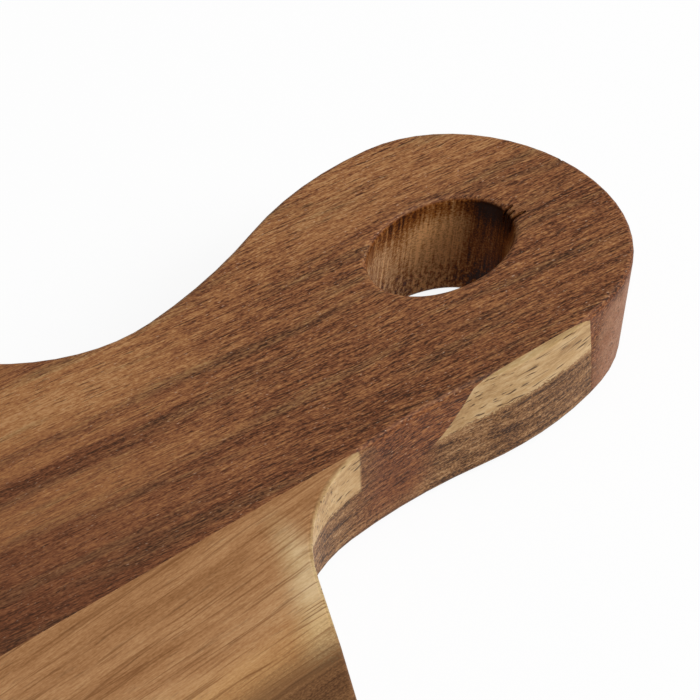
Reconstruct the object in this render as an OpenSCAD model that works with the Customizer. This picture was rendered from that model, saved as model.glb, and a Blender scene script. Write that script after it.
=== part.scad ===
// Paddle serving board: four edge-glued staves cut to one outline, with a round-ended
// handle and an oval hanging hole. Millimetres, +Z up, the handle points along +X, and
// the origin is on the underside, below the middle of the board.

/* [Board] */
// Overall length, handle tip to foot
board_len = 430; // [400:1:480]
// Width across the straight sides
board_w = 180; // [165:1:210]
// Thickness
thick = 18; // [17:0.5:22]
// Radius of the eased edges, top and bottom
edge_r = 1; // [0.8:0.1:1.6]

/* [Handle] */
// Radius of the round end
end_r = 24.2; // [22:0.2:26]
// Turn of the round end, from its tip to where the flank takes over (degrees)
end_turn = 80; // [78:1:82]
// Radius of the bulging flank behind the round end
flank_r = 71.4; // [64:0.2:78]
// Lean of the flank towards the axis where the neck takes over (degrees)
flank_lean = 13; // [12:0.1:15]
// Radius of the long hollow of the neck
neck_r = 121; // [108:1:132]
// Radius of the hollow that runs out into the shoulder
fillet_r = 33.5; // [28:0.5:38]

/* [Body] */
// Lean of the shoulder against the handle's axis, where it leaves the neck (degrees)
shoulder_lean = 52; // [48:1:56]
// Radius of the shoulder's slight bow
bow_r = 600; // [450:10:800]
// Turn of the bow, up to the rounding into the straight side (degrees)
bow_turn = 4; // [3:0.5:5]
// Radius of the two foot corners
corner_r = 40; // [30:1:50]

/* [Hole] */
// Middle of the hole, back from the handle's tip
hole_back = 30.6; // [29:0.1:33]
// Middle of the hole, off the handle's axis towards the far side
hole_shift = 1.1; // [0:0.1:2]
// Length of the hole along the handle
hole_len = 28.2; // [24:0.1:31]
// Width of the hole
hole_w = 17.1; // [15:0.1:20]
// Radius of the hole's eased rims
hole_edge_r = 1; // [0.6:0.1:1.8]

/* [Staves] */
// Angle between the glue lines and the handle's axis (degrees)
stave_skew = 6; // [5:0.1:7]
// Lean of the glue faces off the vertical (degrees)
stave_tilt = 3; // [2.6:0.1:3.6]
// How far the neck bites in past the near glue line, at the top
neck_bite = 0.5; // [0.3:0.1:0.7]
// Width of the far outer stave half way along the board, as a share of half the board's width
far_share = 0.38; // [0.32:0.01:0.42]
// Width of the near outer stave half way along the board, as a share of half the board's width
rim_share = 0.36; // [0.3:0.01:0.42]

/* [Hidden] */
// Facets in a full turn of the hole, and of the outline, where curves are drawn as facets
hole_facets = 72;
outline_facets = 360;
$fn = hole_facets;
// The one overrun of every cutter
over = 4;
// What the sawn blank stands proud of the finished outline
blank_margin = 0.25;
// Straight cuts along each arc of the sawn blank
blank_cuts = 12;
// Flat passes of the plane that ease an edge
ease_cuts = 3;
// The finest step that places are rounded to, where a rest is kept apart
grain = 0.001;

half_len = board_len / 2;
half_w = board_w / 2;
// A length that reaches past the board from any point of it
reach = board_len + board_w;

// Right angles that the outline's arcs start or end at
quarter = 90;
half_turn = 180;
three_quarter = 270;

function at(centre, r, angle) = centre + r * [cos(angle), sin(angle)];
function rounded(x) = round(x / grain) * grain;

// The outline is a chain of tangent arcs from tip to foot; the near half is its mirror image
end_c = [half_len - end_r, 0];
flank_c = at(end_c, end_r - flank_r, end_turn);
flank_end = quarter + flank_lean;
neck_c = at(flank_c, flank_r + neck_r, flank_end);
neck_low = at(neck_c, neck_r, three_quarter);
fillet_c = neck_low + [0, fillet_r];
fillet_from = three_quarter - shoulder_lean;
fillet_end = at(fillet_c, fillet_r, fillet_from);
bow_from = quarter - shoulder_lean;
bow_c = at(fillet_end, -bow_r, bow_from);
round_from = bow_from + bow_turn;
bow_end = at(bow_c, bow_r, round_from);
round_r = (half_w - bow_end.y) / (1 - sin(round_from));
round_c = at(bow_end, -round_r, round_from);
side_run = rounded(round_c.x + half_len - corner_r);
corner_c = [round_c.x - side_run, half_w - corner_r];
foot_run = 2 * corner_c.y;

// The near glue line runs past the deepest point of the near neck, on the top face
glue_x = neck_c.x + (neck_r - neck_bite) * sin(stave_skew);
glue_y = (neck_r - neck_bite) * cos(stave_skew) - neck_c.y;
// Where it crosses the board's middle, and the widths of the two inner staves, face to face
glue_mid = glue_y + glue_x * tan(stave_skew);
square_on = cos(stave_skew) * cos(stave_tilt);
handle_stave_w = (half_w * (1 - far_share) - glue_mid) * square_on;
near_stave_w = (half_w * (1 - rim_share) + glue_mid) * square_on;

hole_at = [half_len - hole_back, hole_shift, 0];
hole_stretch = hole_len / hole_w;

// Moves to a point in two steps, so that cuts that meet there meet to the last digit
module spot(p) {
    step = [rounded(p.x), rounded(p.y)];
    translate(step)
        translate(p - step)
            children();
}

// The sawn blank's cuts along an arc, after its first point
function cuts(centre, r, from, to) =
    [for (i = [1:blank_cuts]) at(centre, r, from + (to - from) * i / blank_cuts)];

half_blank = concat(
    cuts(end_c, end_r + blank_margin, 0, end_turn),
    cuts(flank_c, flank_r + blank_margin, end_turn, flank_end),
    cuts(neck_c, neck_r - blank_margin, three_quarter + flank_lean, three_quarter),
    cuts(fillet_c, fillet_r - blank_margin, three_quarter, fillet_from),
    cuts(bow_c, bow_r + blank_margin, bow_from, round_from),
    cuts(round_c, round_r + blank_margin, round_from, quarter),
    [[corner_c.x, half_w + blank_margin]],
    cuts(corner_c, corner_r + blank_margin, quarter, half_turn)
);
near_blank = [for (i = [len(half_blank) - 1:-1:0]) [half_blank[i].x, -half_blank[i].y]];

// The sawn blank, a little proud of the outline all round
module blank() {
    linear_extrude(thick)
        polygon(concat([[half_len + blank_margin, 0]], half_blank, near_blank));
}

// Corner points of an eased edge, from a face to the wall on the Y axis
ease = [for (i = [0:ease_cuts])
    edge_r * [sin(quarter * i / ease_cuts) - 1, 1 - cos(quarter * i / ease_cuts)]];

// Section of what shaping takes off: the finished wall is on the Y axis, its wood on the left
module waste() {
    polygon(concat(
        [[-edge_r, -over], [over, -over], [over, thick + over], [-edge_r, thick + over]],
        [for (p = ease) [p.x, thick - p.y]],
        [for (i = [ease_cuts:-1:0]) ease[i]]
    ));
}

// Waste around an outward arc
module bulge_waste(centre, r, from, to) {
    spot(centre)
        rotate_extrude(angle = to - from, start = from, $fn = outline_facets)
            spot([r, 0])
                waste();
}

// Waste around an inward arc
module hollow_waste(centre, r, from, to) {
    spot(centre)
        rotate_extrude(angle = to - from, start = from, $fn = outline_facets)
            spot([r, 0])
                mirror([1, 0])
                    waste();
}

// Waste along a straight run that starts at a point and faces out at an angle
module straight_waste(start, run, facing) {
    spot(start)
        rotate([0, 0, facing])
            rotate([quarter, 0, 0])
                mirror([0, 0, 1])
                    linear_extrude(run)
                        waste();
}

module half_waste() {
    bulge_waste(flank_c, flank_r, end_turn, flank_end);
    hollow_waste(neck_c, neck_r, three_quarter, three_quarter + flank_lean);
    hollow_waste(fillet_c, fillet_r, fillet_from, three_quarter);
    bulge_waste(bow_c, bow_r, bow_from, round_from);
    bulge_waste(round_c, round_r, round_from, quarter);
    straight_waste([round_c.x, half_w], side_run, quarter);
    bulge_waste(corner_c, corner_r, quarter, half_turn);
}

// Oval hole with both rims eased: a flared round bore, stretched along the handle
module hole_waste() {
    hole_r = hole_w / 2;
    translate(hole_at)
        scale([hole_stretch, 1, 1])
            rotate_extrude()
                difference() {
                    translate([0, -over])
                        square([hole_r + hole_edge_r, thick + 2 * over]);
                    translate([hole_r, hole_edge_r])
                        square([2 * hole_edge_r, thick - 2 * hole_edge_r]);
                    for (y = [hole_edge_r, thick - hole_edge_r])
                        translate([hole_r + hole_edge_r, y])
                            circle(hole_edge_r);
                }
}

// The whole board before it is told apart into its staves
module board() {
    difference() {
        blank();
        bulge_waste(end_c, end_r, -end_turn, end_turn);
        half_waste();
        mirror([0, 1, 0])
            half_waste();
        straight_waste([corner_c.x - corner_r, corner_c.y], foot_run, half_turn);
    }
}

// The room between two glue faces, measured across the grain from the near glue face
module stave_room(from, to) {
    translate([glue_x, glue_y, thick])
        rotate([0, 0, -stave_skew])
            rotate([stave_tilt, 0, 0])
                translate([-reach, from, -reach])
                    cube([2 * reach, to - from, 2 * reach]);
}

// The wide stave that runs up through the handle and carries the hole
module handle_stave() {
    color("saddlebrown")
        difference() {
            intersection() {
                board();
                stave_room(0, handle_stave_w);
            }
            hole_waste();
        }
}

// The pale stave on the near side, with its thin tongue along the handle
module near_stave() {
    color("burlywood")
        intersection() {
            board();
            stave_room(-near_stave_w, 0);
        }
}

// The outer stave on the near side
module rim_stave() {
    color("peru")
        intersection() {
            board();
            stave_room(-reach, -near_stave_w);
        }
}

// The outer stave on the far side
module far_stave() {
    color("sienna")
        intersection() {
            board();
            stave_room(handle_stave_w, reach);
        }
}

handle_stave();
near_stave();
rim_stave();
far_stave();
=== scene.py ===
# %% [markdown]
# # A paddle serving board
# The board is four staves of wood, glued edge to edge and sawn to one outline, with eased edges
# and an oval hole in its handle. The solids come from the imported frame. Here they are sanded,
# chipped a little, given their wood and set on a white floor under soft light, and a camera looks
# down on the handle, as the photograph does.

# %% Load the frame
from math import cos, radians, sin

import bpy
from mathutils import Matrix, Vector


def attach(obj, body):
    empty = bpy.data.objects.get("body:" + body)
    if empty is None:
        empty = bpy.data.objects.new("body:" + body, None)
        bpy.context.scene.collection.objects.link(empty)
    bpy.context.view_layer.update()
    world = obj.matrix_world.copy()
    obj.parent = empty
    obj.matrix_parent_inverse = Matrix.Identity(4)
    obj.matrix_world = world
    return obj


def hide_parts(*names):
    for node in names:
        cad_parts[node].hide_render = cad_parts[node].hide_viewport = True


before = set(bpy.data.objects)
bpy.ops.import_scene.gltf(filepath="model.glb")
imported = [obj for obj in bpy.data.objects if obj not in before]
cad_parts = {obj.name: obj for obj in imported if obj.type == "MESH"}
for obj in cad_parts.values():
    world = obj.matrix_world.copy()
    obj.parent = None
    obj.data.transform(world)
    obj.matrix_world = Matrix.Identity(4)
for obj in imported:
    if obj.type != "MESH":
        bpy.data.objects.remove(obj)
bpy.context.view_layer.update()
print("nodes:", list(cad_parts))

# %% [markdown]
# ## Camera
# The photograph is a close view of the handle, taken from far away with a long lens, so that
# parallel edges stay nearly parallel. A camera could be turned by eye until it fits. This one is
# placed by the point that it looks at, on the top face behind the hole, and by its bearing, its
# height and its slight roll. Nothing needs a lens shift then, and every other view keeps the lens.

# %% Place the camera
MM = 0.001
AIM = Vector((154.994, -4.830, 18.0)) * MM
DISTANCE = 867.064 * MM
BEARING, HEIGHT, ROLL = 303.544, 38.572, 7.765
PHOTO_SIDE = 700
FOCAL_PIXELS = 6000
SENSOR = 36.0


def towards(bearing, height):
    """A direction out from the board, by its bearing round it and its height over the floor."""
    turn, rise = radians(bearing), radians(height)
    return Vector((sin(turn) * cos(rise), -cos(turn) * cos(rise), sin(rise)))


back = towards(BEARING, HEIGHT)
bpy.ops.object.camera_add(location=AIM + back * DISTANCE)
camera = bpy.context.object
camera.name = "camera"
unrolled = back.to_track_quat("Z", "Y").to_matrix()
camera.rotation_euler = (unrolled @ Matrix.Rotation(radians(ROLL), 3, "Z")).to_euler()
camera.data.sensor_width = SENSOR
camera.data.lens = FOCAL_PIXELS / PHOTO_SIDE * SENSOR
bpy.context.scene.camera = camera
print("camera at", tuple(round(v, 4) for v in camera.location), "lens", round(camera.data.lens, 1))

# %% [markdown]
# ## Node helpers
# Every finish below is a node tree. It could be wired by hand in the shader editor; in code, a few
# small helpers keep it readable. Each adds one node, fills its sockets with values or with other
# nodes' outputs, and hands back its own output.

# %% Add one node
def add_node(tree, kind, sockets=None, out=0, **settings):
    made = tree.nodes.new(kind)
    for name, value in settings.items():
        setattr(made, name, value)
    for name, value in (sockets or {}).items():
        if isinstance(value, bpy.types.NodeSocket):
            tree.links.new(value, made.inputs[name])
        else:
            made.inputs[name].default_value = value
    return made.outputs[out]


# %% Begin and end a tree
def new_finish(name):
    made = bpy.data.materials.new(name)
    made.use_nodes = True
    made.node_tree.nodes.clear()
    return made, made.node_tree


def show(tree, surface, kind="ShaderNodeOutputMaterial"):
    """Ends a tree: what it has made is what is seen."""
    tree.links.new(surface, tree.nodes.new(kind).inputs["Surface"])
    print("a tree of", len(tree.nodes), "nodes")


# %% Arithmetic
def reckon(tree, kind, a, b=0.0):
    return add_node(tree, "ShaderNodeMath", {0: a, 1: b}, operation=kind)


def times(tree, a, b):
    return reckon(tree, "MULTIPLY", a, b)


def larger(tree, a, b):
    return reckon(tree, "MAXIMUM", a, b)


# %% [markdown]
# ## Floor
# The board lies on plain white. A curved backdrop would do, but a flat floor that runs out of
# sight has no fold to hide. The camera sees it as white, while the board sees it at a plain level,
# and a tenth of what is seen is matt, which takes the board's shadow.

# %% Floor
FLOOR_SIDE = 60.0
FLOOR_DROP = 0.0002
FLOOR_GREY = (0.9, 0.9, 0.9, 1)
WHITE = (1, 1, 1, 1)
GLOW_SHARE = 0.9

bpy.ops.object.select_all(action="DESELECT")
bpy.ops.mesh.primitive_plane_add(size=FLOOR_SIDE, location=(0, 0, -FLOOR_DROP))
floor = bpy.context.object
floor.name = "floor"
white_floor, tree = new_finish("white floor")
path = tree.nodes.new("ShaderNodeLightPath").outputs
seen = larger(tree, path["Is Camera Ray"], path["Is Glossy Ray"])
seen = larger(tree, seen, path["Is Transmission Ray"])
matt = add_node(tree, "ShaderNodeBsdfDiffuse", {"Color": FLOOR_GREY})
glow = add_node(tree, "ShaderNodeEmission", {"Color": WHITE, "Strength": 1.0})
glowing = times(tree, seen, GLOW_SHARE)
show(tree, add_node(tree, "ShaderNodeMixShader", {0: glowing, 1: matt, 2: glow}))
floor.data.materials.append(white_floor)
print("floor", FLOOR_SIDE, "m wide")

# %% [markdown]
# ## Light
# The photograph is lit softly. A bright world could light it all, but then no wall would be in
# shade. So the world only fills the shadows, and two softboxes do the rest. The main one stands to
# the right of the picture, so that the walls and the end of the hole that face it are bright and
# the far rim of the hole falls into shade.

# %% World
SKY = 0.26


def fade(tree, value, start, end, low=0.0, high=1.0):
    """Goes softly from low to high while the value goes from start to end.

    A fade that has a name is written in that order: start, end, low, high.
    """
    sockets = {"Value": value, "From Min": start, "From Max": end, "To Min": low, "To Max": high}
    return add_node(tree, "ShaderNodeMapRange", sockets, interpolation_type="SMOOTHSTEP")


world = bpy.data.worlds.new("studio")
world.use_nodes = True
tree = world.node_tree
tree.nodes.clear()
path = tree.nodes.new("ShaderNodeLightPath").outputs
seen = larger(tree, path["Is Camera Ray"], path["Is Transmission Ray"])
strength = fade(tree, seen, 0, 1, low=SKY, high=1)
sky = add_node(tree, "ShaderNodeBackground", {"Color": WHITE, "Strength": strength})
show(tree, sky, "ShaderNodeOutputWorld")
bpy.context.scene.world = world
print("world light", SKY)

# %% Softboxes
def softbox(name, bearing, height, away, side, watts):
    out = towards(bearing, height)
    bpy.ops.object.light_add(type="AREA", location=out * away)
    lamp = bpy.context.object
    lamp.name = name
    lamp.rotation_euler = out.to_track_quat("Z", "Y").to_euler()
    lamp.data.shape = "SQUARE"
    lamp.data.size = side
    lamp.data.energy = watts
    print(name, watts, "W")


softbox("right_softbox", bearing=45, height=38, away=2.2, side=1.2, watts=38.8)
softbox("top_softbox", bearing=60, height=75, away=2.4, side=2.0, watts=14.1)

# %% [markdown]
# ## Staves
# On the bench each stave is sawn, glued and sanded. It could be modelled anew from its outline, but
# a copy of the frame's solid keeps its shape to the last digit. The copy is merged, because the
# frame's mesh is loose triangles, and its stored normals are cleared.

# %% Copy the staves
MERGE_GAP = 0.002 * MM


def pick(piece):
    bpy.ops.object.select_all(action="DESELECT")
    piece.select_set(True)
    bpy.context.view_layer.objects.active = piece


def sanded(node):
    pick(bpy.data.objects[node])
    bpy.ops.object.duplicate()
    piece = bpy.context.object
    piece.name = node + "_sanded"
    piece.data.materials.clear()
    bpy.ops.object.mode_set(mode="EDIT")
    bpy.ops.mesh.select_all(action="SELECT")
    bpy.ops.mesh.remove_doubles(threshold=MERGE_GAP)
    bpy.ops.object.mode_set(mode="OBJECT")
    bpy.ops.mesh.customdata_custom_splitnormals_clear()
    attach(piece, "root")
    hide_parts(node)
    print(piece.name, len(piece.data.vertices), "points")
    return piece


handle_stave = sanded("handle_stave")
near_stave = sanded("near_stave")
rim_stave = sanded("rim_stave")
far_stave = sanded("far_stave")

# %% [markdown]
# ## Chips
# The hole was cut with a drill and a saw, which tore a few splinters out of its rim where the
# fibres end, and the far edge of the handle has one small nick. They could be painted on, but the
# light shows real notches better. Each is a flattened ball along the fibres, stood on edge and
# taken away from the stave with a boolean.

# %% Chips
HANDLE_GRAIN = -11.0
# Middle, length, width and depth of each chip, in millimetres
CHIPS = [
    ((198.5, -0.3, 17.6), 3.0, 0.6, 5.0),
    ((198.2, -2.4, 17.6), 4.4, 0.8, 6.0),
    ((198.3, -1.3, 17.6), 2.0, 0.5, 3.0),
    ((214.2, 1.3, 17.6), 1.8, 0.9, 0.9),
]


def chip(piece, at, length, width, depth):
    bpy.ops.object.select_all(action="DESELECT")
    bpy.ops.mesh.primitive_ico_sphere_add(subdivisions=2, radius=1, location=Vector(at) * MM)
    ball = bpy.context.object
    ball.scale = Vector((length, width, depth)) * MM / 2
    ball.rotation_euler = (0, 0, radians(HANDLE_GRAIN))
    piece.select_set(True)
    bpy.context.view_layer.objects.active = piece
    cut = piece.modifiers.new("chip", "BOOLEAN")
    cut.operation = "DIFFERENCE"
    cut.object = ball
    bpy.ops.object.modifier_apply(modifier=cut.name)
    bpy.data.objects.remove(ball, do_unlink=True)


for at, length, width, depth in CHIPS:
    chip(handle_stave, at, length, width, depth)
print("handle stave with chips:", len(handle_stave.data.polygons), "faces")

# %% [markdown]
# ## Sanding
# Each edge is eased in three flat passes of a plane, and sandpaper then blends them. More facets
# would do the same, but they would no longer be the frame's shape. New normals, weighted by the
# size of the faces, let the passes read as one soft rounding while the large faces stay flat.

# %% Sand the staves
SOFT_ANGLE = radians(38)
LARGE_FACES_FIRST = 100


def soften(piece):
    pick(piece)
    bpy.ops.object.shade_smooth_by_angle(angle=SOFT_ANGLE)
    even = piece.modifiers.new("even", "WEIGHTED_NORMAL")
    even.keep_sharp = True
    even.weight = LARGE_FACES_FIRST
    bpy.ops.object.modifier_apply(modifier=even.name)
    print(piece.name, "softened")


for piece in (handle_stave, near_stave, rim_stave, far_stave):
    soften(piece)

# %% [markdown]
# ## Wood in space
# Wood is the same all the way through. A picture of wood could be laid on each face, but it would
# not meet itself at the edges. So the pattern is laid out in space and the saw only uncovers it:
# long fibres on the faces, dots on the cut ends. A mapping node turns the board's metres into
# millimetres along the fibres, across them and up, and noise that is stretched along the fibres
# gives streaks, fibres and pores.

# %% Noise that is stretched along the fibres
SEED_STEPS = (1, 1.7, 2.3)


def cloud(tree, place, stretch, seed, detail=1.0, rough=0.5):
    """Noise around a half. Each number of the stretch is its waves in a millimetre."""
    shift = tuple(seed * step for step in SEED_STEPS)
    spot = add_node(
        tree, "ShaderNodeVectorMath", {0: place, 1: stretch, 2: shift}, operation="MULTIPLY_ADD"
    )
    sockets = {"Vector": spot, "Scale": 1.0, "Detail": detail, "Roughness": rough}
    return add_node(tree, "ShaderNodeTexNoise", sockets)


def plus(tree, a, b):
    return reckon(tree, "ADD", a, b)


def minus(tree, a, b):
    return reckon(tree, "SUBTRACT", a, b)


def swing(tree, value, reach):
    """Turns a cloud, which stays near a half, into a swing about zero."""
    return times(tree, minus(tree, value, 0.5), 2 * reach)


# %% The stave's own measure
WIDE_SWAY, FINE_SWAY = (0.009, 0.03, 0.03), (0.05, 0.12, 0.12)
FINE_REACH = 0.5


def own_measure(tree, origin, unit, yaw=0.0):
    """The place on the board from an origin, in units of its own; both are in millimetres."""
    spot = add_node(tree, "ShaderNodeTexCoord", out="Object")
    sockets = {
        "Vector": spot, "Location": Vector(origin) * MM,
        "Rotation": (0, 0, radians(yaw)), "Scale": Vector(unit) * MM,
    }
    return add_node(tree, "ShaderNodeMapping", sockets, vector_type="TEXTURE")


def three_ways(tree, place):
    return add_node(tree, "ShaderNodeSeparateXYZ", {0: place}).node.outputs


def wood_frame(tree, origin, yaw, sway, seed):
    """Millimetres along the fibres, across them and up, with the fibres swaying a little."""
    place = own_measure(tree, origin, (1, 1, 1), yaw)
    wide = swing(tree, cloud(tree, place, WIDE_SWAY, seed), sway)
    fine = swing(tree, cloud(tree, place, FINE_SWAY, seed, detail=2.0), FINE_REACH)
    along, across, up = three_ways(tree, place)
    across = plus(tree, across, plus(tree, wide, fine))
    wood = add_node(tree, "ShaderNodeCombineXYZ", {0: along, 1: across, 2: up})
    return wood, along, across, up


# %% Streaks, fibres and pores
STREAK, STREAK_REACH = (0.030, 1.0, 1.0), 0.24
FIBRE, FIBRE_REACH = (0.27, 3.5, 3.5), 0.75
GRIT, GRIT_REACH = (1.3, 4.4, 4.4), 0.55
PORE_EDGE = 0.12


def figure(tree, wood, seed):
    """The swing in tone that streaks, short fibres and grit give, and the fibres by themselves."""
    streaks = cloud(tree, wood, STREAK, seed + 1, detail=3.0, rough=0.6)
    fibres = cloud(tree, wood, FIBRE, seed + 2, detail=2.0, rough=0.7)
    grit = cloud(tree, wood, GRIT, seed + 3)
    tone = plus(tree, swing(tree, streaks, STREAK_REACH), swing(tree, fibres, FIBRE_REACH))
    return plus(tree, tone, swing(tree, grit, GRIT_REACH)), fibres


def pores(tree, wood, stretch, start, seed):
    """Short dark dashes along the fibres; the higher the start, the fewer there are."""
    return fade(tree, cloud(tree, wood, stretch, seed + 4), start, start + PORE_EDGE)


# %% Which way a surface faces
def facing(tree, direction):
    """How squarely the surface faces along a direction: 1 along it, -1 against it."""
    normal = add_node(tree, "ShaderNodeNewGeometry", out="Normal")
    sockets = {0: normal, 1: direction}
    return add_node(tree, "ShaderNodeVectorMath", sockets, out="Value", operation="DOT_PRODUCT")


def flatness(tree):
    """1 on the top and the underside, 0 on the walls."""
    return reckon(tree, "ABSOLUTE", facing(tree, (0, 0, 1)))


def across_fibres(tree, yaw):
    """How squarely the surface cuts across fibres at an angle to the handle, from 0 to 1."""
    return reckon(tree, "ABSOLUTE", facing(tree, (cos(radians(yaw)), sin(radians(yaw)), 0)))


# %% [markdown]
# ## Oil
# Boards of this kind are rubbed with oil, not varnished. A clear coat would look too wet, so the
# gloss is one soft lobe that follows the fibres. The pores dip a little, so both also go into a
# fine bump.

# %% Oil
FIBRE_RELIEF = 0.6
BUMP_STRENGTH = 0.35
BUMP_DEPTH = 0.15 * MM
ROUGH_BY_FIBRE = (0.3, 0.7, 0.62, 0.48)
OIL_GLOSS = 0.12


def oil(tree, colour, fibres, dashes):
    height = minus(tree, times(tree, fibres, FIBRE_RELIEF), dashes)
    sockets = {"Strength": BUMP_STRENGTH, "Distance": BUMP_DEPTH, "Height": height}
    bump = add_node(tree, "ShaderNodeBump", sockets)
    rough = fade(tree, fibres, *ROUGH_BY_FIBRE)
    show(tree, add_node(tree, "ShaderNodeBsdfPrincipled", {
        "Base Color": colour, "Roughness": rough, "Normal": bump, "Specular IOR Level": OIL_GLOSS,
    }))


# %% [markdown]
# ## Heartwood
# Three of the staves are heartwood, from nearly black over red to golden brown, with olive patches
# here and there. Each colour could be painted by itself. Here a tone between 0 and 1 climbs one
# ladder of browns, so that all the browns stay in one family, however the bands and the fibres push
# the tone.

# %% Heartwood
HEARTWOOD = [
    (0.0, (0.046, 0.017, 0.007)), (0.15, (0.095, 0.032, 0.0125)), (0.25, (0.136, 0.044, 0.017)),
    (0.4, (0.194, 0.072, 0.029)), (0.6, (0.276, 0.112, 0.041)), (0.8, (0.350, 0.158, 0.058)),
    (1.0, (0.44, 0.225, 0.095)),
]
OLIVE_PATCH = (0.03, 0.35, 0.35)
OLIVE_SHARE = (0.50, 0.70, 0.0, 0.7)
OLIVE = (0.80, 0.98, 1.05)
# The mix node's sockets for colours
SHARE, FIRST, SECOND, MIXED = 0, 6, 7, 2


def ladder(tree, value, rungs, start=0.0, end=1.0):
    """A colour ramp whose rungs are given in the value's own measure, from start to end."""
    sockets = {"Value": value, "From Min": start, "From Max": end}
    where = add_node(tree, "ShaderNodeMapRange", sockets)
    made = add_node(tree, "ShaderNodeValToRGB", {0: where}).node
    steps = made.color_ramp.elements
    while len(steps) < len(rungs):
        steps.new(1.0)
    for step, (place, colour) in zip(steps, rungs):
        step.position = (place - start) / (end - start)
        step.color = (*colour, 1) if isinstance(colour, tuple) else (colour, colour, colour, 1)
    return made.outputs[0]


def tinge(tree, share, colour, tint):
    sockets = {SHARE: share, FIRST: colour, SECOND: (*tint, 1)}
    settings = {"data_type": "RGBA", "blend_type": "MULTIPLY"}
    return add_node(tree, "ShaderNodeMix", sockets, MIXED, **settings)


def heartwood(tree, wood, tone, seed):
    olive = fade(tree, cloud(tree, wood, OLIVE_PATCH, seed, detail=2.0), *OLIVE_SHARE)
    return tinge(tree, olive, ladder(tree, tone, HEARTWOOD), OLIVE)


# %% [markdown]
# Where the saw cuts across the fibres the wood is pinker and shows dots, the open ends of the
# fibres. The noise in space already gives dots there, but too faint ones for a sawn end, so the
# cut ends get a ladder of their own, stepped by finer speckle and soft rings. Its browns are
# light, partly the wood's own colour and partly painted light on the ends.

# %% Cut ends
CUT_END_AND_LIGHT = [
    (0.0, (0.22, 0.074, 0.022)), (0.5, (0.293, 0.131, 0.066)), (1.0, (0.40, 0.215, 0.122)),
]
SPECKLE, SPECKLE_REACH = (2.0, 4.0, 4.0), 0.6
END_RING, END_RING_REACH = (0.1, 0.8, 0.5), 0.5


def cut_end(tree, wood, speckle, tone, seed):
    rings = swing(tree, cloud(tree, wood, END_RING, seed, detail=2.0), END_RING_REACH)
    dots = plus(tree, swing(tree, speckle, SPECKLE_REACH), rings)
    return ladder(tree, plus(tree, tone, dots), CUT_END_AND_LIGHT)


# %% [markdown]
# ## The handle stave
# Dark heartwood. Behind the handle it has golden bands and one blurred, olive-dark streak, and next
# to the glue line and in the head it is an even reddish brown with a lighter far side. Noise alone
# would put the bands anywhere. They run along the fibres, so two ladders of tone across them, one
# for the body and one for the head, blend into each other along the handle.

# %% Bands of the handle stave
BAND_REACH = (-50, 50)
BODY_BANDS = [
    (-50, 0.35), (-42, 0.50), (-34, 0.30), (-26, 0.22), (-19, 0.17), (-16, 0.23), (-13, 0.33),
    (-9, 0.30), (-5.5, 0.39), (-3.5, 0.62), (0.5, 0.64), (2.0, 0.48), (3.2, 0.28), (5.2, 0.25),
    (6.4, 0.52), (8.0, 0.66), (9.2, 0.40), (10.2, 0.42), (11.5, 0.66), (14, 0.80), (18, 0.84),
    (19.8, 0.68), (21.5, 0.80), (23.4, 0.44), (27, 0.60), (34, 0.36), (42, 0.55), (50, 0.30),
]
HEAD_BANDS = [
    (-50, 0.26), (-16, 0.31), (-12, 0.33), (-7, 0.35), (0, 0.38), (6, 0.42), (10, 0.39),
    (13, 0.47), (15, 0.40), (18, 0.50), (20, 0.50), (23.5, 0.60), (29, 0.70), (50, 0.40),
]
BAND_LEAN = 0.15
HEAD_SLANT = -0.8
INTO_HEAD = (-16, 18)


def mix(tree, share, low, high):
    sockets = {SHARE: share, FIRST: low, SECOND: high}
    return add_node(tree, "ShaderNodeMix", sockets, MIXED, data_type="RGBA")


def handle_bands(tree, along, across, up):
    leaning = plus(tree, across, times(tree, up, BAND_LEAN))
    body = ladder(tree, leaning, BODY_BANDS, *BAND_REACH)
    head = ladder(tree, leaning, HEAD_BANDS, *BAND_REACH)
    onward = plus(tree, along, times(tree, across, HEAD_SLANT))
    return mix(tree, fade(tree, onward, *INTO_HEAD), body, head)


# %% Handle stave: faces and walls
HANDLE_ORIGIN = (120, 0, 18)
HANDLE_SWAY = 2.0
CALM = (-40, 40, 0.6, 1.2)
PATCH, PATCH_REACH = (0.025, 0.14, 0.14), 0.22
WALL = (0.9, 0.4)
WALL_RED = (0.98, 0.87, 0.74)

dark_heartwood, tree = new_finish("dark heartwood")
wood, along, across, up = wood_frame(tree, HANDLE_ORIGIN, HANDLE_GRAIN, HANDLE_SWAY, seed=3)
swings, fibres = figure(tree, wood, seed=10)
calm = fade(tree, along, *CALM)
patches = swing(tree, cloud(tree, wood, PATCH, seed=5, detail=2.0), PATCH_REACH)
tone = plus(tree, handle_bands(tree, along, across, up), patches)
colour = heartwood(tree, wood, plus(tree, tone, times(tree, swings, calm)), seed=7)
colour = tinge(tree, fade(tree, flatness(tree), *WALL), colour, WALL_RED)
print("dark heartwood,", len(BODY_BANDS) + len(HEAD_BANDS), "rungs of tone")

# %% [markdown]
# The round end of the handle is a cut end, pink below its eased edge, and light, partly by its own
# colour and partly by painted light. It could be told apart by its place, but the end goes over
# into the flanks without a border. How squarely the surface cuts the fibres finds it, and lets it
# fade out round the curve.

# %% Handle stave: cut end
END_TURN = (0.18, 0.38)
END_DEPTH = (-0.8, -3.5, 0.0, 0.82)
END_TONE = (0.6, 0.95, 0.5, 0.15)

speckle = cloud(tree, wood, SPECKLE, seed=19)
square = across_fibres(tree, HANDLE_GRAIN)
end = times(tree, fade(tree, square, *END_TURN), fade(tree, up, *END_DEPTH))
pink = cut_end(tree, wood, speckle, fade(tree, square, *END_TONE), seed=20)
colour = mix(tree, end, colour, pink)
print("cut end from", -END_DEPTH[0], "mm below the top, at its most from", -END_DEPTH[1], "mm")
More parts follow.
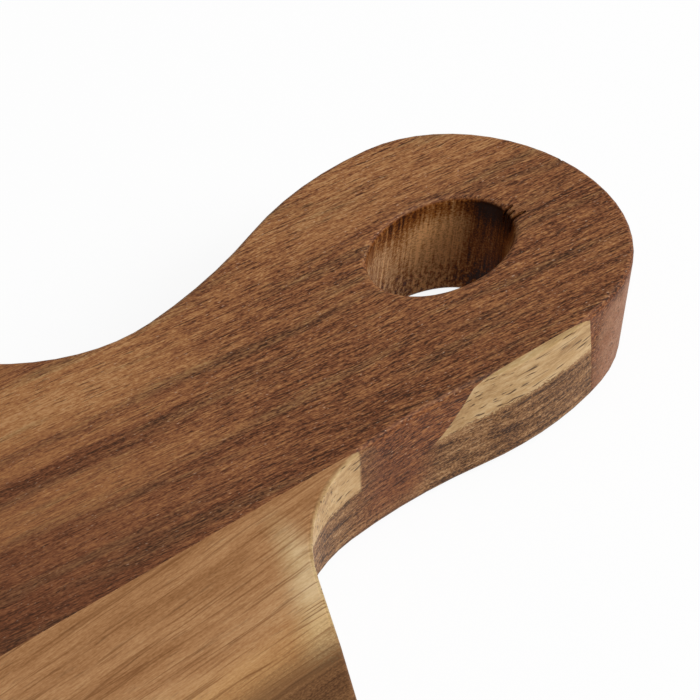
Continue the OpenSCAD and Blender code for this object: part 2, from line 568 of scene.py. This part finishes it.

# %% [markdown]
# Open pores show as short dark dashes along the fibres, and a few catch the light; those glints
# are painted highlights, light tan specks in the colour. Cut as grooves they would cost thousands
# of faces for marks a tenth of a millimetre wide. Noise above a limit gives the same dashes as
# colour.

# %% Handle stave: pores and glints
PORE, PORE_START = (0.22, 3.4, 3.4), 0.60
PORE_SHARE = 0.6
PORE_BROWN = (0.035, 0.013, 0.006, 1)
GLINT = (1.2, 3.6, 3.6)
GLINT_SHARE = (0.68, 0.78, 0.0, 0.45)
GLINT_HIGHLIGHT_TAN = (0.60, 0.40, 0.27, 1)

dashes = pores(tree, wood, PORE, PORE_START, seed=10)
colour = mix(tree, times(tree, dashes, times(tree, calm, PORE_SHARE)), colour, PORE_BROWN)
# Painted highlights: glints as light specks.
glints = fade(tree, cloud(tree, wood, GLINT, seed=17), *GLINT_SHARE)
colour = mix(tree, times(tree, glints, calm), colour, GLINT_HIGHLIGHT_TAN)
print("pores, one wave in", round(1 / PORE[0], 1), "mm along the fibres")

# %% [markdown]
# ## The wall of the hole
# The drill left it rough: golden tan, scored and torn. It could be a piece of its own, but then its
# edge would show. A mapping node turns the oval into a circle of radius one, so the stave's own
# finish finds the wall by the distance from the circle's middle.

# %% Round the hole
HOLE_AT = (184.4, 1.1, 0)
HOLE_HALF = (14.1, 8.55, 1.0)
ON_WALL = (1.02, 1.005)
NEAR_WALL = (1.25, 1.2)
BELOW_TOP = (17.7, 17.2)

place = own_measure(tree, HOLE_AT, HOLE_HALF)
ahead, aside, height = three_ways(tree, place)
flat = add_node(tree, "ShaderNodeCombineXYZ", {0: ahead, 1: aside})
away = add_node(tree, "ShaderNodeVectorMath", {0: flat}, out="Value", operation="LENGTH")
tipward = facing(tree, (-1, 0, 0))
wall = fade(tree, away, *ON_WALL)
torn = times(tree, fade(tree, height, *BELOW_TOP), fade(tree, away, *NEAR_WALL))
print("hole", 2 * HOLE_HALF[0], "by", 2 * HOLE_HALF[1], "mm")

# %% [markdown]
# Painted shade darkens the wall where it faces the tip's side, away from the softbox. A band
# below the rim is darker too, most on that side, and inside the splinters it is dark, partly torn
# wood and partly painted shade. Light alone could darken these places, but the softbox shines in,
# so the darkening is taken off the tone.

# %% Painted shade and dark places of the hole
TIPWARD_SHADE = (0.55, 1.0, 0.0, 0.66)
RIM_BAND = (12, 17.2)
RIM_DARK = (-0.3, 0.3, 0.26, 0.50)
SPLINTER_DARK = (0, 1, 0.30, 0.0)

rim = times(tree, fade(tree, height, *RIM_BAND), fade(tree, tipward, *RIM_DARK))
hole_darkening = plus(tree, fade(tree, tipward, *TIPWARD_SHADE), rim)
hole_darkening = plus(tree, hole_darkening, times(tree, torn, fade(tree, wall, *SPLINTER_DARK)))
print("dark band from", RIM_BAND[0], "mm up")

# %% [markdown]
# Upright tool marks score the wall, and low down it is torn and mottled. Real grooves would have to
# be cut round the whole oval. Noise in the hole's own measure, stretched upwards, runs round it by
# itself.

# %% Tool marks and tears
TOOL_MARK, TOOL_REACH = (30, 18, 0.12), 0.6
TEAR, TEAR_REACH = (22, 13, 1.1), 2.4
LOW = (9, 2, 0.05, 0.55)
LOW_DARK = 0.45
BORE_GRIT = 0.5
BORE_TONE_AND_LIGHT = (0.05, 0.42, 0.69, 0.97)

marks = swing(tree, cloud(tree, place, TOOL_MARK, seed=91, detail=2.0, rough=0.6), TOOL_REACH)
tears = swing(tree, cloud(tree, place, TEAR, seed=94, detail=2.0, rough=0.7), TEAR_REACH)
low = fade(tree, height, *LOW)
# Painted light: the tone rises as the wall turns from the near side towards the tip, where the
# softbox leaves it dim.
tone = plus(tree, fade(tree, tipward, *BORE_TONE_AND_LIGHT), marks)
tone = plus(tree, tone, times(tree, tears, low))
tone = plus(tree, tone, swing(tree, speckle, BORE_GRIT))
tone = minus(tree, tone, plus(tree, hole_darkening, times(tree, low, LOW_DARK)))
print("torn below", LOW[0], "mm")

# %% [markdown]
# Raw from the drill, the wall is more golden than the oiled faces, and warmer under the rim and on
# the tip's side. The faces' ladder could be tinged, but its browns are too red, so the wall climbs
# one of its own. Then the whole stave is oiled.

# %% Colour of the hole's wall, and oil
BORE = [
    (0.0, (0.025, 0.006, 0.001)), (0.25, (0.10, 0.026, 0.003)), (0.5, (0.25, 0.092, 0.020)),
    (0.75, (0.395, 0.222, 0.106)), (1.0, (0.63, 0.35, 0.17)),
]
WARM_SIDE = (-0.4, 0.4)
WARM_TOP = (12, 16)
WARM = (1.0, 0.90, 0.72)

warm = larger(tree, fade(tree, tipward, *WARM_SIDE), fade(tree, height, *WARM_TOP))
bore = tinge(tree, warm, ladder(tree, tone, BORE), WARM)
colour = mix(tree, larger(tree, torn, wall), colour, bore)
oil(tree, colour, fibres, dashes)

# %% [markdown]
# ## The near stave
# A stave from the edge of the heart: sapwood above, heartwood below. Two finishes could be masked
# face by face, but they would part at the edges. So both are made in one tree, in the stave's own
# measure, and are told apart in space. First come the tone, which the face and the walls both
# follow, and the share of wall at each place.

# %% Near stave: measure and tone
NEAR_ORIGIN = (140, -21, 10)
NEAR_GRAIN = -2.0
NEAR_SWAY = 2.0
NEAR_PATCH, NEAR_PATCH_REACH = (0.05, 0.30, 0.30), 0.40
OUTWARD = (-4, -18, 0.45, 0.74)
NEAR_SWING = 0.5
SOFT_WALL = (0.95, 0.45)
CHEEK = (8, 12)

pale_wood, tree = new_finish("pale wood")
wood, along, across, up = wood_frame(tree, NEAR_ORIGIN, NEAR_GRAIN, NEAR_SWAY, seed=8)
swings, fibres = figure(tree, wood, seed=30)
patches = swing(tree, cloud(tree, wood, NEAR_PATCH, seed=33, detail=2.0), NEAR_PATCH_REACH)
tone = plus(tree, fade(tree, across, *OUTWARD), patches)
tone = plus(tree, tone, times(tree, swings, NEAR_SWING))
level = flatness(tree)
wall = larger(tree, fade(tree, level, *SOFT_WALL), fade(tree, along, *CHEEK))
print("pale wood, tone from", OUTWARD[2], "to", OUTWARD[3])

# %% [markdown]
# The sapwood is tan on the face, pales towards the bark side at the shoulder, and is paler still on
# the sanded walls. One longer ladder could reach the pale tones, but they are greyer as well as
# lighter, so they have a ladder of their own.

# %% Near stave: tan face and pale walls
SAPWOOD = [
    (0.0, (0.20, 0.082, 0.026)), (0.3, (0.30, 0.137, 0.051)), (0.55, (0.40, 0.200, 0.083)),
    (1.0, (0.55, 0.325, 0.152)),
]
PALE_SAPWOOD = [
    (0.0, (0.30, 0.165, 0.068)), (0.4, (0.475, 0.295, 0.133)), (1.0, (0.66, 0.47, 0.26)),
]
# The way past the shoulder's slanting edge: shares of along and across, and what is added to them
ALONG_SHARE, ACROSS_SHARE, EDGE_AT = 0.782, -0.623, 14.1
BARKWARD = (-5.5, -1)
BEHIND_NECK = (-19, -26)
EDGE_HIGHLIGHT = (-2.5, -0.5, 0.0, 0.2)
OFF_WALLS = (1, 0)
BLOTCH, BLOTCH_REACH = (0.10, 0.7, 0.7), 0.6

shoulder = plus(tree, times(tree, across, ACROSS_SHARE), EDGE_AT)
shoulder = plus(tree, times(tree, along, ALONG_SHARE), shoulder)
barkward = times(tree, fade(tree, shoulder, *BARKWARD), fade(tree, along, *BEHIND_NECK))
# A painted highlight lightens a strip of the face along the shoulder's eased edge.
edge = times(tree, fade(tree, shoulder, *EDGE_HIGHLIGHT), fade(tree, wall, *OFF_WALLS))
blotches = swing(tree, cloud(tree, wood, BLOTCH, seed=35, detail=2.0), BLOTCH_REACH)
pale_tone = plus(tree, plus(tree, tone, edge), times(tree, blotches, wall))
pale = ladder(tree, pale_tone, PALE_SAPWOOD)
face = mix(tree, barkward, ladder(tree, tone, SAPWOOD), pale)
print("sapwood,", len(SAPWOOD), "and", len(PALE_SAPWOOD), "rungs")

# %% [markdown]
# Thin brown lines run along the face: year rings that the saw met at a flat angle, and rows of fine
# pores, which lie closer together by the shoulder. Each could be drawn as a curve. A slow cloud is
# quicker: it crosses its middle along thin, wandering lines, and a second cloud breaks them up.

# %% Near stave: brown lines
LINE_BROWN = (0.185, 0.072, 0.022, 1)
LINE_SHARE = 0.85
FINE_LINE, FINE_START, FINE_SHARE = (0.045, 2.1, 1.5), 0.57, 0.7
COMB_START = 0.50
BY_SHOULDER = (-8, -2, 0.0, 0.55)
BY_NECK = (-30, -20, 0.25, 1.0)
RING, RING_LINE = (0.014, 0.50, 0.30), (0.0, 0.06, 0.9, 0.0)
BREAK, BREAK_SHARE = (0.05, 0.5, 0.5), (0.44, 0.60)

fine = times(tree, pores(tree, wood, FINE_LINE, FINE_START, seed=36), FINE_SHARE)
ring = reckon(tree, "ABSOLUTE", swing(tree, cloud(tree, wood, RING, seed=38), 1.0))
breaks = fade(tree, cloud(tree, wood, BREAK, seed=39), *BREAK_SHARE)
lines = larger(tree, fine, times(tree, fade(tree, ring, *RING_LINE), breaks))
comb = pores(tree, wood, FINE_LINE, COMB_START, seed=36)
comb = times(tree, comb, fade(tree, shoulder, *BY_SHOULDER))
lines = larger(tree, lines, times(tree, comb, fade(tree, along, *BY_NECK)))
lined = mix(tree, times(tree, lines, LINE_SHARE), face, LINE_BROWN)
print("ring lines, one wave in", round(1 / RING[0]), "mm along the fibres")

# %% [markdown]
# The eased edge between the face and the walls is a shade darker: painted shade, where the edge
# turns away from the light. It could be a strip of faces with a finish of its own. The tilt of the
# surface finds it without a cut in the mesh.

# %% Near stave: eased edge
EASED_TOP, EASED_SIDE = (0.995, 0.9), (0.2, 0.6)
EASED_SHADE_TINT = (0.76, 0.77, 0.70)

eased = times(tree, fade(tree, level, *EASED_TOP), fade(tree, level, *EASED_SIDE))
sap = tinge(tree, eased, mix(tree, wall, lined, pale), EASED_SHADE_TINT)
print("eased edge tinged by", EASED_SHADE_TINT)

# %% [markdown]
# Brown heartwood shows low on the walls and comes up softly to the face further out, as year rings
# do. Its border could be painted on every face. A bowed face in space, rising away from the glue
# line, gives it on all of them at once, speckled on the walls and soft on top.

# %% Near stave: border of the heartwood
LEAST_OUT = -6.0
RISE, BOW = 0.21, 0.0065
NEAR_SPECKLE, BORDER_SPECKLE = (2.0, 4.6, 4.6), 1.5
SOFT_BORDER = (3, 8, 0.3, 2.2)

out = larger(tree, times(tree, across, -1.0), LEAST_OUT)
rise = plus(tree, times(tree, out, RISE), times(tree, times(tree, out, out), BOW))
speckle = cloud(tree, wood, NEAR_SPECKLE, seed=41)
depth = plus(tree, minus(tree, rise, up), swing(tree, speckle, BORDER_SPECKLE))
near_heart = reckon(tree, "DIVIDE", depth, fade(tree, up, *SOFT_BORDER))
print("heartwood rises", RISE, "mm in each mm outwards, and more further out")

# %% [markdown]
# This heartwood is mottled, from nearly black to tan, and calmer on the face and on the cut end. A
# spotted picture could be laid on the walls. Long stripes and fine speckle in space do it without
# seams, and two fades hold them back where the wood is calm.

# %% Near stave: mottled heartwood
MOTTLED = [
    (0.0, (0.035, 0.014, 0.005)), (0.25, (0.103, 0.043, 0.016)), (0.5, (0.200, 0.092, 0.035)),
    (0.75, (0.308, 0.158, 0.066)), (1.0, (0.42, 0.25, 0.12)),
]
STRIPE, STRIPE_REACH = (0.020, 1.1, 1.3), 1.0
MOTTLE_SPECKLE = 0.85
CALM_ON_FACE = (0, 1, 0.4, 1.0)
CALM_ON_END = (0.4, 0.75, 1.0, 0.3)
HEART_TONE = (0, 1, 0.38, 0.48)

stripes = cloud(tree, wood, STRIPE, seed=44, detail=3.0, rough=0.6)
mottle = plus(tree, swing(tree, stripes, STRIPE_REACH), swing(tree, speckle, MOTTLE_SPECKLE))
mottle = times(tree, mottle, fade(tree, wall, *CALM_ON_FACE))
mottle = times(tree, mottle, fade(tree, across_fibres(tree, NEAR_GRAIN), *CALM_ON_END))
heart = ladder(tree, plus(tree, fade(tree, wall, *HEART_TONE), mottle), MOTTLED)
print("mottled heartwood,", len(MOTTLED), "rungs")

# %% [markdown]
# Under the neck the stave is only a thin tongue, which has taken the colour of the dark stave
# behind it. It could wear that stave's finish, but its fibres run another way. So its own heartwood
# turns red there, on the ladder of the dark stave.

# %% Near stave: red under the neck
RED_TONE = 0.33
RED_SWING, RED_SPECKLE, RED_STRIPE = 0.75, 0.45, 0.5
RED_TINT = (0.94, 0.86, 0.76)
NECK_FROM, NECK_TO = (-5, 6), (19, 11)
NECK_UP = (-12, -5)

red_swings = plus(tree, times(tree, swings, RED_SWING), swing(tree, speckle, RED_SPECKLE))
red_tone = plus(tree, plus(tree, RED_TONE, red_swings), swing(tree, stripes, RED_STRIPE))
red = tinge(tree, 1.0, ladder(tree, red_tone, HEARTWOOD), RED_TINT)
reddened = times(tree, fade(tree, along, *NECK_FROM), fade(tree, along, *NECK_TO))
heart = mix(tree, times(tree, reddened, fade(tree, up, *NECK_UP)), heart, red)
print("red from", NECK_FROM[0], "to", NECK_TO[0], "mm along")

# %% [markdown]
# The sapwood turns golden just before the heartwood begins, and the tongue is heartwood right up to
# its top. The stave could be cut in two along the border, but it is one piece of wood, so one mix
# joins the two woods.

# %% Near stave: both woods together
TONGUE_LEAN = 0.22
TONGUE_FROM, TONGUE_TO = (-0.6, 0.1), (17, 14)
GOLDEN_ZONE = (-2.0, -0.3)
GOLDEN = (0.98, 0.91, 0.76)
INTO_HEART = (-1, 1)

left = plus(tree, along, times(tree, up, TONGUE_LEAN))
tongue = times(tree, fade(tree, left, *TONGUE_FROM), fade(tree, along, *TONGUE_TO))
golden = times(tree, fade(tree, near_heart, *GOLDEN_ZONE), fade(tree, wall, *OFF_WALLS))
sap = tinge(tree, golden, sap, GOLDEN)
colour = mix(tree, larger(tree, fade(tree, near_heart, *INTO_HEART), tongue), sap, heart)
print("tongue to", TONGUE_TO[0], "mm along")

# %% [markdown]
# Last come this stave's pores, coarser than those of the dark stave. They are plain on the walls,
# faint on the tan face and weaker where the wood is red. One strength for all could not show that,
# so two fades set it.

# %% Near stave: pores and oil
NEAR_PORE, NEAR_PORE_START = (0.18, 2.3, 2.3), 0.60
PORES_BY_WALL = (0, 1, 0.2, 0.85)
PORES_BY_RED = (0, 1, 1.0, 0.6)
DASH_BROWN = (0.05, 0.021, 0.009, 1)

dashes = pores(tree, wood, NEAR_PORE, NEAR_PORE_START, seed=30)
dashes = times(tree, dashes, fade(tree, wall, *PORES_BY_WALL))
shown = times(tree, dashes, fade(tree, reddened, *PORES_BY_RED))
oil(tree, mix(tree, shown, colour, DASH_BROWN), fibres, dashes)

# %% [markdown]
# ## The outer staves
# Neither shows in the photograph, so both are plain lengths of the same kind of wood: the rim
# stave a middling brown, the far stave a little darker. Bands could be listed again, but with
# nothing to match, stretched noise gives each stave bands of its own.

# %% Outer stave finishes
OUTER_SWAY = 4.0
OUTER_BAND, OUTER_BAND_REACH = (0.006, 0.13, 0.13), 0.8
OUTER_END_TURN = (0.30, 0.75)
OUTER_END_HEIGHT = (8.0, 3.0, 0.0, 0.5)
OUTER_END_TONE = 0.1


def outer_wood(name, origin, yaw, shift, seed):
    made, tree = new_finish(name)
    wood, _, _, up = wood_frame(tree, origin, yaw, OUTER_SWAY, seed)
    bands = swing(tree, cloud(tree, wood, OUTER_BAND, seed + 6, detail=3.0), OUTER_BAND_REACH)
    swings, fibres = figure(tree, wood, seed)
    colour = heartwood(tree, wood, plus(tree, plus(tree, shift, bands), swings), seed + 7)
    turned = fade(tree, across_fibres(tree, yaw), *OUTER_END_TURN)
    end = times(tree, turned, fade(tree, up, *OUTER_END_HEIGHT))
    speckle = cloud(tree, wood, SPECKLE, seed + 8)
    colour = mix(tree, end, colour, cut_end(tree, wood, speckle, OUTER_END_TONE, seed + 9))
    dashes = pores(tree, wood, PORE, PORE_START, seed)
    colour = mix(tree, times(tree, dashes, PORE_SHARE), colour, PORE_BROWN)
    oil(tree, colour, fibres, dashes)
    return made


mid_wood = outer_wood("mid wood", origin=(0, -70, 9), yaw=-4.0, shift=0.58, seed=60)
brown_wood = outer_wood("brown wood", origin=(0, 70, 9), yaw=-8.0, shift=0.42, seed=80)

# %% [markdown]
# Faces could each have a finish of their own. As every stave is one length of wood, and its finish
# knows the faces, walls and ends apart, one finish is enough for each.

# %% Put the wood on the staves
for piece, finish in (
    (handle_stave, dark_heartwood),
    (near_stave, pale_wood),
    (rim_stave, mid_wood),
    (far_stave, brown_wood),
):
    piece.data.materials.append(finish)
    print(piece.name, "in", finish.name)

# %% [markdown]
# ## View
# A filmic view would grey the white floor and the wood, so the view stays plain.

# %% View
bpy.context.scene.view_settings.view_transform = "Standard"
